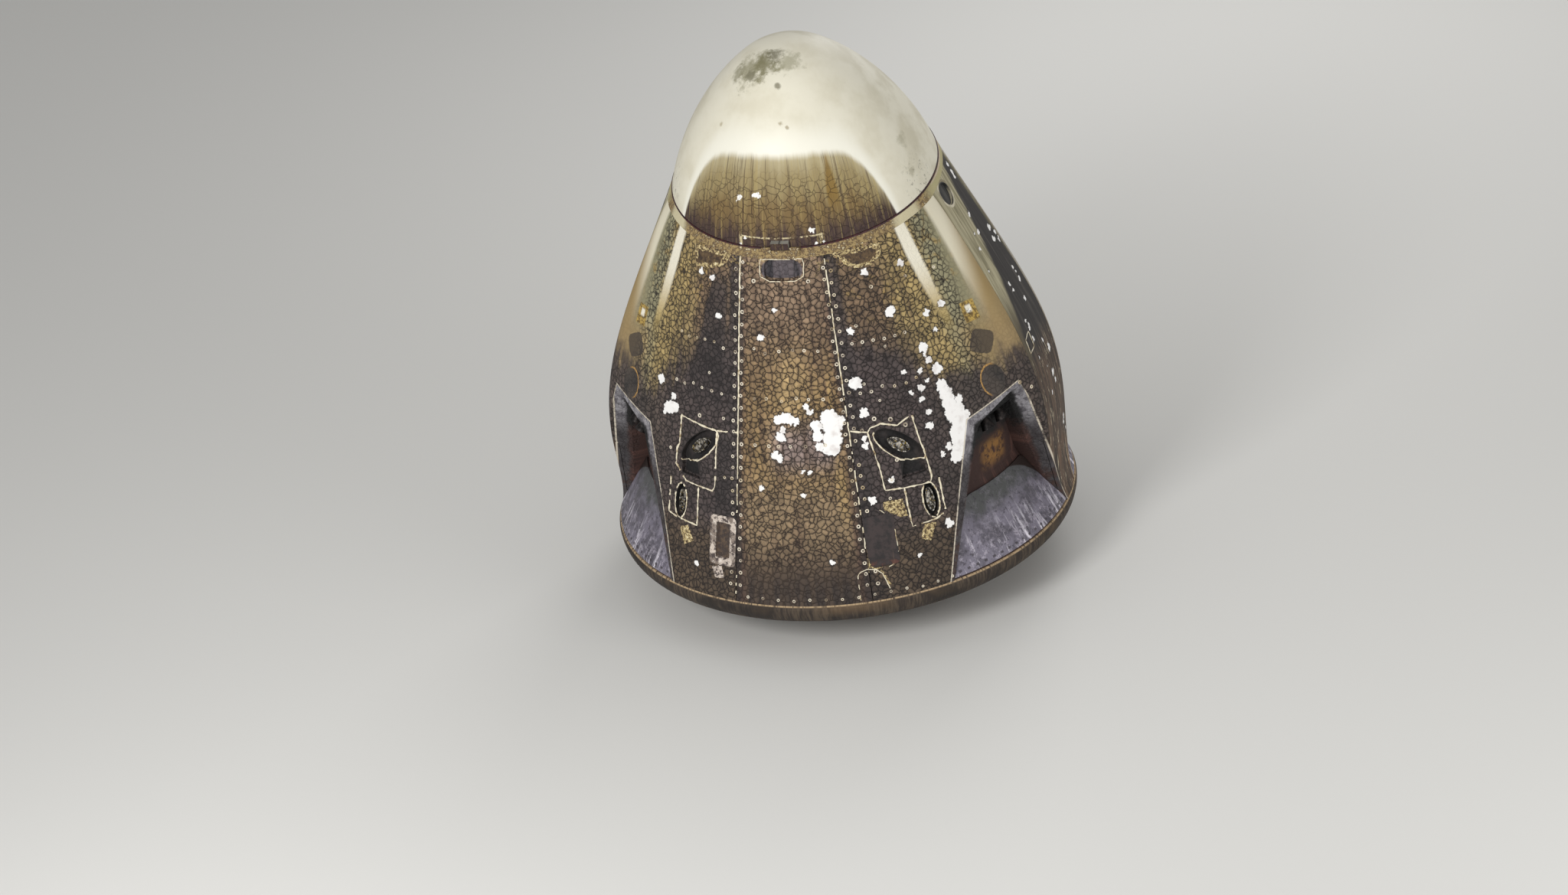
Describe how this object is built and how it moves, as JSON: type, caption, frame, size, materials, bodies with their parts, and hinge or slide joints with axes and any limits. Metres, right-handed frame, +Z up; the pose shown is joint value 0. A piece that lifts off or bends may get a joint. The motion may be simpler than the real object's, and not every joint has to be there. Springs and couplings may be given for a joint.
{
  "type": "crewed space capsule",
  "caption": "Cone-shaped crewed space capsule after re-entry: charred shell with engine pods, dished heat shield, hinged nose cap over a docking adapter, side hatch and cabin.",
  "frame": {"origin": "lowest point of the heat shield, on the capsule's axis", "axes": "+Z up along the capsule's axis, -Y towards the windward side seen in the picture, +X towards the right-hand side of the picture"},
  "size_m": [3.9998, 3.9998, 4.9607],
  "materials": {
    "heat_shield": "charred ablative tiles, grained",
    "vessel": "primed and dusty",
    "service_structure": "dark and sooted",
    "charred_panel": "crackled, scorched white coating",
    "leeward_panel": "scorched white coating",
    "pod_panel": "crackled, scorched white coating",
    "side_panel": "sooted with worn streaks",
    "ramp_metal": "heat-tinted sheet",
    "engine_metal": "sooted",
    "thruster_metal": "heat-tinted",
    "port_frame": "worn enamel",
    "port_cover": "scorched",
    "window_glass": "hazed",
    "collar": "scorched seal band",
    "nose_cap": "white coating, charred lower front",
    "adapter": "machined",
    "capture_metal": "anodised",
    "forward_nozzle": "heat-tinted",
    "inner_hatch": "painted white",
    "hinge_metal": "machined",
    "side_hatch": "scorched white coating outside",
    "cabin_floor": "satin",
    "seat": "white cover",
    "console": "dark display glass and frame"
  },
  "bodies": {
    "capsule": {"cabin_floor": "cabin_floor", "capture_struts": "capture_metal", "control_console": "console", "crew_seat_1": "seat", "crew_seat_2": "seat", "crew_seat_3": "seat", "crew_seat_4": "seat", "docking_tunnel": "adapter", "escape_engines_leeward_left": "engine_metal", "escape_engines_leeward_right": "engine_metal", "escape_engines_windward_left": "engine_metal", "escape_engines_windward_right": "engine_metal", "exhaust_ramp_leeward_left": "ramp_metal", "exhaust_ramp_leeward_right": "ramp_metal", "exhaust_ramp_windward_left": "ramp_metal", "exhaust_ramp_windward_right": "ramp_metal", "forward_collar": "collar", "forward_hatch_hinge": "hinge_metal", "forward_thrusters": "forward_nozzle", "heat_shield": "heat_shield", "leeward_panel": "leeward_panel", "leeward_pod_left": "pod_panel", "leeward_pod_right": "pod_panel", "pressure_vessel": "vessel", "service_bay_leeward_left": "service_structure", "service_bay_leeward_right": "service_structure", "service_bay_windward_left": "service_structure", "service_bay_windward_right": "service_structure", "side_panel_left": "side_panel", "side_panel_right": "side_panel", "soft_capture_ring": "capture_metal", "thrusters_leeward_left": "thruster_metal", "thrusters_leeward_right": "thruster_metal", "thrusters_windward_left": "thruster_metal", "thrusters_windward_right": "thruster_metal", "umbilical_cover_right": "port_cover", "umbilical_port_left": "port_frame", "window_left": "window_glass", "window_right": "window_glass", "windward_panel": "charred_panel", "windward_pod_left": "pod_panel", "windward_pod_right": "pod_panel"},
    "nose_cap": {"nose_cap": "nose_cap"},
    "side_hatch": {"side_hatch": "side_hatch"},
    "forward_hatch": {"forward_hatch": "inner_hatch"}
  },
  "joints": [
    {"name": "nose_cap_hinge", "type": "hinge", "parent": "capsule", "child": "nose_cap", "pos_m": [0, -1.16596, 3.52666], "axis": [1, 0, 0], "range_deg": [0, 110]},
    {"name": "side_hatch_hinge", "type": "hinge", "parent": "capsule", "child": "side_hatch", "pos_m": [-0.434, 1.46149, 2.33716], "axis": [0, -0.2645, 0.9644], "range_deg": [0, 110]},
    {"name": "forward_hatch_hinge", "type": "hinge", "parent": "capsule", "child": "forward_hatch", "pos_m": [0, 0.475, 3.4065], "axis": [1, 0, 0], "range_deg": [0, 100]}
  ]
}
